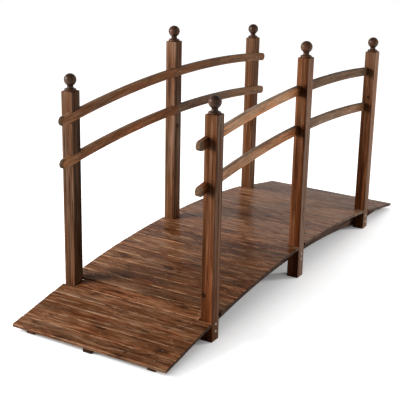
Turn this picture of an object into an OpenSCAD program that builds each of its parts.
// Arched timber garden footbridge with railings.
// A low arch of deck boards runs down to a short ramp at each end. Three
// stringers carry the boards, six posts stand against the outer stringers,
// and two curved rails are let into the posts on each side. Each rail is made of
// two halves that meet at the middle post.
// X runs along the walkway from front to rear, Y across it to the left, Z up.
// The origin is on the ground under the middle of the bridge. Units: millimetres.

/* [Deck boards] */
// Length of a full board, which is the width of the deck
deck_w = 675; // [560:5:800]
// Width of one board along the walkway
board_w = 60.5; // [54:0.5:70]
// Thickness of a board
board_t = 12; // [9:0.5:18]
// Open joint between two boards
board_gap = 2.5; // [1.5:0.5:5]
// Eased top edges of a board
board_ease = 1.5; // [0.5:0.25:2.5]

/* [Arch and ramps] */
// Boards on the arch between the end posts
arch_boards = 22; // [18:2:26]
// Radius of the walking surface on the arch
arch_radius = 5150; // [4600:10:6200]
// Height of the walking surface at the crown
crown_z = 143; // [136:1:165]
// Full boards on each ramp, outside the posts
ramp_boards = 5; // [4:1:7]
// Step down from the arch to the ramp
ramp_step = 4; // [2:0.5:6]
// Height of the walking surface at the tip of a ramp
tip_z = 28; // [22:1:36]

/* [Stringers] */
// Thickness of a stringer
stringer_t = 35; // [28:1:42]
// Depth of an arch stringer at the crown
arch_depth = 61; // [50:1:70]
// Height of the ends of an arch stringer above the ground
arch_end_clear = 4; // [2:0.5:8]
// Distance from the ramp's tip back to the toe of an outer stringer
toe_setback = 17; // [10:1:45]
// Distance from the ramp's tip back to the toe of the centre stringer
centre_toe_setback = 6; // [3:1:20]
// Play at the shoulders of the half-lap joints
lap_play = 0.5; // [0.3:0.1:1]

/* [Posts] */
// Side of the square post
post_w = 50; // [40:1:54]
// Height of the four end posts
end_post_h = 850; // [810:5:900]
// Height of the two middle posts
middle_post_h = 934; // [880:2:990]
// Chamfer round the top of a post
post_top_chamfer = 2; // [1.5:0.5:4]
// Eased vertical edges of a post
post_ease = 1.5; // [1:0.25:3]
// How far the deck stands out past the posts
deck_overhang = 4; // [2:0.5:8]
// Clearance between a post and the boards cut round it
post_play = 4; // [2:0.5:6]

/* [Rails] */
// Depth of a rail
rail_h = 35.5; // [28:0.5:42]
// Thickness of a rail, which is let into the posts flush with their inner faces
rail_t = 20; // [16:1:24]
// How far a rail runs on past the middle of an end post
rail_overhang = 84; // [70:1:110]
// Open joint between the two halves of a rail
rail_joint = 0.6; // [0.4:0.1:2]
// Clearance above a rail in its notch
notch_play = 0.6; // [0.4:0.1:1.5]
// Radius of the top edge of a rail
rail_radius = 5750; // [5000:50:7000]
// Least depth of the upper rail's top edge below the top of an end post
rail_below_end_top = 74.5; // [50:0.5:110]
// Least depth of the upper rail's top edge below the top of a middle post
rail_below_middle_top = 113; // [80:1:150]
// Distance between the top edges of the two rails
rail_spacing = 164; // [130:2:200]

/* [Finials] */
// Diameter of the ball
ball_d = 47.5; // [40:0.5:50]
// Height of the ball's centre above the post
ball_rise = 41; // [38:1:48]
// Diameter of the neck under the ball
neck_d = 24; // [18:1:26]
// Height of the rounded foot of the finial
foot_h = 8; // [6:0.5:9]

/* [Hidden] */
$fn = 96;
// Facets of the wide arcs, so that each facet is short
arc_fn = 1440;
past = 1;
pitch = board_w + board_gap;
degree = 180 / PI;

// Arch: the centre of its radius, and where its walking surface ends
arch_centre_z = crown_z - arch_radius;
arch_angle = arch_boards / 2 * pitch / arch_radius * degree;
arch_end_x = arch_radius * sin(arch_angle);
arch_end_z = arch_centre_z + arch_radius * cos(arch_angle);

// Ramp: a straight slope from the step to the tip
ramp_top_z = arch_end_z - ramp_step;
ramp_len = (ramp_boards + 1) * pitch;
ramp_angle = asin((ramp_top_z - tip_z) / ramp_len);
tip_x = arch_end_x + ramp_len * cos(ramp_angle);

// Posts stand in the first board space of each ramp and at mid-span
post_x = arch_end_x + pitch / 2 * cos(ramp_angle);
post_out_y = deck_w / 2 - deck_overhang;
post_in_y = post_out_y - post_w;
post_y = post_out_y - post_w / 2;

// Stringers: the under edge of the arch, and the lap with the ramp's wedges
stringer_y = post_in_y - stringer_t / 2;
lap_start_x = arch_end_x - board_t * sin(ramp_angle);
lap_end_x = post_x + post_w / 2;
soffit_z = crown_z - board_t - arch_depth;
soffit_rise = soffit_z - arch_end_clear;
soffit_radius = (lap_end_x * lap_end_x + soffit_rise * soffit_rise) / (2 * soffit_rise);

// Rails: the heights of their top edges at the crown, which the posts' tops hold down
rail_sag = rail_radius - sqrt(pow(rail_radius, 2) - pow(post_x, 2));
upper_rail_z = min(middle_post_h - rail_below_middle_top, end_post_h + rail_sag - rail_below_end_top);
lower_rail_z = upper_rail_z - rail_spacing;

// Rails: the arc along their middle, and where it ends
rail_middle_r = rail_radius - rail_h / 2;
rail_end_angle = asin((post_x + rail_overhang - rail_h / 2) / rail_middle_r);

// Finial: its foot covers the flat of the post's top
finial_foot_r = post_w / 2 - post_top_chamfer;

// Height of a ramp board's under face at x, on the rear ramp
function ramp_seat_z(x) =
    ramp_top_z - board_t / cos(ramp_angle) - (x - arch_end_x) * tan(ramp_angle);

// Turns a profile drawn in X and Z into a plate of the given thickness, centred on y
module plate(thickness, y = 0) {
    translate([0, y, 0])
        rotate([90, 0, 0])
            linear_extrude(thickness, center = true)
                children();
}

// Mirrors a piece made for the rear end to the front end where side is -1
module at_end(side) {
    mirror([side < 0 ? 1 : 0, 0, 0])
        children();
}

// Outline of a post's side, chamfered round the top
module post_side(height) {
    half = post_w / 2;
    polygon([
        [-half, 0], [half, 0],
        [half, height - post_top_chamfer], [half - post_top_chamfer, height],
        [post_top_chamfer - half, height], [-half, height - post_top_chamfer]
    ]);
}

// Square section of a post with its arrises eased
module post_section() {
    half = post_w / 2;
    inner = half - post_ease;
    polygon([
        [-inner, -half], [inner, -half], [half, -inner], [half, inner],
        [inner, half], [-inner, half], [-half, inner], [-half, -inner]
    ]);
}

// Side view of the whole curve of a rail, with the given play above it
module rail_curve(crown, play = 0) {
    translate([0, crown - rail_radius])
        difference() {
            circle(rail_radius + play, $fn = arc_fn);
            circle(rail_radius - rail_h, $fn = arc_fn);
        }
}

// Post with a notch in its inner face for each rail
module post(x, side, height) {
    color("saddlebrown")
        difference() {
            translate([x, side * post_y, 0])
                intersection() {
                    linear_extrude(height)
                        post_section();
                    rotate([90, 0, 0])
                        linear_extrude(post_w, center = true)
                            post_side(height);
                    rotate([90, 0, 90])
                        linear_extrude(post_w, center = true)
                            post_side(height);
                }
            for (crown = [upper_rail_z, lower_rail_z])
                plate(rail_t + past, side * (post_in_y + (rail_t - past) / 2))
                    intersection() {
                        rail_curve(crown, notch_play);
                        translate([x - post_w, 0])
                            square([2 * post_w, height]);
                    }
        }
}

// Half outline of the turned finial: a rounded foot, a cove, a neck and a ball
module finial_outline() {
    neck_r = neck_d / 2;
    foot_r = foot_h / 2;
    cove_r = finial_foot_r - foot_r - neck_r;
    square([finial_foot_r - foot_r, foot_h]);
    translate([finial_foot_r - foot_r, foot_r])
        intersection() {
            circle(foot_r);
            translate([0, -foot_r])
                square([foot_r, foot_h]);
        }
    square([neck_r, ball_rise]);
    translate([neck_r, foot_h])
        difference() {
            square(cove_r);
            translate([cove_r, cove_r])
                circle(cove_r);
        }
    translate([0, ball_rise])
        intersection() {
            circle(ball_d / 2);
            translate([0, -ball_d / 2])
                square([ball_d / 2, ball_d]);
        }
}

module finial(x, side, height) {
    color("#4a2d1f")
        translate([x, side * post_y, height])
            rotate_extrude()
                finial_outline();
}

// Half of a curved rail, from its joint at the middle post to its rounded end
module rail(end, side, crown) {
    start = rail_joint / 2;
    reach = rail_radius + past;
    color("peru")
        at_end(end)
            plate(rail_t, side * (post_in_y + rail_t / 2)) {
                intersection() {
                    rail_curve(crown);
                    translate([0, crown - rail_radius])
                        polygon([
                            [start, start / tan(rail_end_angle)],
                            [reach * tan(rail_end_angle), reach],
                            [start, reach]
                        ]);
                }
                translate([
                    rail_middle_r * sin(rail_end_angle),
                    crown - rail_radius + rail_middle_r * cos(rail_end_angle)
                ])
                    circle(d = rail_h);
            }
}

// Side view of an arch stringer, cut down at its ends to seat the post boards
module arch_stringer_side() {
    tail = lap_end_x - lap_start_x + past;
    intersection() {
        difference() {
            translate([0, arch_centre_z])
                circle(arch_radius - board_t, $fn = arc_fn);
            translate([0, soffit_z - soffit_radius])
                circle(soffit_radius, $fn = arc_fn);
            for (side = [-1, 1])
                at_end(side)
                    polygon([
                        [lap_start_x, ramp_seat_z(lap_start_x)],
                        [lap_start_x + tail, ramp_seat_z(lap_start_x + tail)],
                        [lap_start_x + tail, crown_z],
                        [lap_start_x, crown_z]
                    ]);
        }
        translate([-lap_end_x, 0])
            square([2 * lap_end_x, crown_z]);
    }
}

// Arch stringer; lap_side is the side of it that is kept at the half-laps
module arch_stringer(y, lap_side) {
    cheek_len = lap_end_x - lap_start_x + past;
    color("sienna")
        difference() {
            plate(stringer_t, y)
                arch_stringer_side();
            for (side = [-1, 1])
                at_end(side)
                    translate([
                        lap_start_x,
                        lap_side > 0 ? y - stringer_t / 2 - past : y,
                        -past
                    ])
                        cube([cheek_len, stringer_t / 2 + past, crown_z]);
        }
}

// Tapered ramp stringer that lies on the ground and laps the arch stringer
module ramp_stringer(side, y, lap_side, setback) {
    toe_x = tip_x - setback;
    heel_x = lap_start_x + lap_play;
    cheek_len = lap_end_x - heel_x + lap_play;
    color("sienna")
        at_end(side)
            difference() {
                plate(stringer_t, y)
                    polygon([
                        [heel_x, 0], [toe_x, 0],
                        [toe_x, ramp_seat_z(toe_x)], [heel_x, ramp_seat_z(heel_x)]
                    ]);
                translate([
                    heel_x - past,
                    lap_side > 0 ? y : y - stringer_t / 2 - past,
                    -past
                ])
                    cube([cheek_len + past, stringer_t / 2 + past, crown_z]);
            }
}

// Deck board with its top face at z 0 and its eased edges uppermost
module board(length) {
    half = board_w / 2;
    rotate([90, 0, 0])
        linear_extrude(length, center = true)
            polygon([
                [-half, -board_t], [half, -board_t],
                [half, -board_ease], [half - board_ease, 0],
                [board_ease - half, 0], [-half, -board_ease]
            ]);
}

// Space that the boards leave open round every post
module post_notches() {
    opening = post_w + 2 * post_play;
    depth = deck_w / 2 - post_in_y + post_play;
    for (x = [-post_x, 0, post_x], side = [-1, 1])
        translate([x - opening / 2, side > 0 ? post_in_y - post_play : -deck_w / 2 - past, 0])
            cube([opening, depth + past, end_post_h]);
}

// Arch boards from the first to the last number, counted from the front
module arch_deck(first, last) {
    color("brown")
        difference() {
            for (i = [first : last])
                translate([0, 0, arch_centre_z])
                    rotate([0, (i + 0.5 - arch_boards / 2) * pitch / arch_radius * degree, 0])
                        translate([0, 0, arch_radius])
                            board(deck_w);
            post_notches();
        }
}

// Board in the given space of a ramp, counted outwards from the arch
module ramp_space(space) {
    translate([arch_end_x, 0, ramp_top_z])
        rotate([0, ramp_angle, 0])
            translate([(space + 0.5) * pitch, 0, 0])
                children();
}

module ramp_deck(side) {
    color("brown")
        at_end(side)
            difference() {
                for (space = [1 : ramp_boards])
                    ramp_space(space)
                        board(deck_w);
                post_notches();
            }
}

// Short board between the two end posts
module post_board(side) {
    color("brown")
        at_end(side)
            ramp_space(0)
                board(2 * (post_in_y - post_play));
}

half_boards = arch_boards / 2;

post(-post_x, 1, end_post_h);  // front_left_post
post(-post_x, -1, end_post_h);  // front_right_post
post(0, 1, middle_post_h);  // middle_left_post
post(0, -1, middle_post_h);  // middle_right_post
post(post_x, 1, end_post_h);  // rear_left_post
post(post_x, -1, end_post_h);  // rear_right_post

finial(-post_x, 1, end_post_h);  // front_left_finial
finial(-post_x, -1, end_post_h);  // front_right_finial
finial(0, 1, middle_post_h);  // middle_left_finial
finial(0, -1, middle_post_h);  // middle_right_finial
finial(post_x, 1, end_post_h);  // rear_left_finial
finial(post_x, -1, end_post_h);  // rear_right_finial

rail(-1, 1, upper_rail_z);  // front_left_upper_rail
rail(-1, 1, lower_rail_z);  // front_left_lower_rail
rail(-1, -1, upper_rail_z);  // front_right_upper_rail
rail(-1, -1, lower_rail_z);  // front_right_lower_rail
rail(1, 1, upper_rail_z);  // rear_left_upper_rail
rail(1, 1, lower_rail_z);  // rear_left_lower_rail
rail(1, -1, upper_rail_z);  // rear_right_upper_rail
rail(1, -1, lower_rail_z);  // rear_right_lower_rail

arch_stringer(stringer_y, 1);  // left_arch_stringer
arch_stringer(0, 1);  // centre_arch_stringer
arch_stringer(-stringer_y, -1);  // right_arch_stringer

ramp_stringer(-1, stringer_y, 1, toe_setback);  // front_left_ramp_stringer
ramp_stringer(-1, 0, 1, centre_toe_setback);  // front_centre_ramp_stringer
ramp_stringer(-1, -stringer_y, -1, toe_setback);  // front_right_ramp_stringer
ramp_stringer(1, stringer_y, 1, toe_setback);  // rear_left_ramp_stringer
ramp_stringer(1, 0, 1, centre_toe_setback);  // rear_centre_ramp_stringer
ramp_stringer(1, -stringer_y, -1, toe_setback);  // rear_right_ramp_stringer

ramp_deck(-1);  // front_ramp_boards
post_board(-1);  // front_post_board
arch_deck(0, half_boards - 2);  // front_arch_boards
arch_deck(half_boards - 1, half_boards);  // crown_boards
arch_deck(half_boards + 1, arch_boards - 1);  // rear_arch_boards
post_board(1);  // rear_post_board
ramp_deck(1);  // rear_ramp_boards
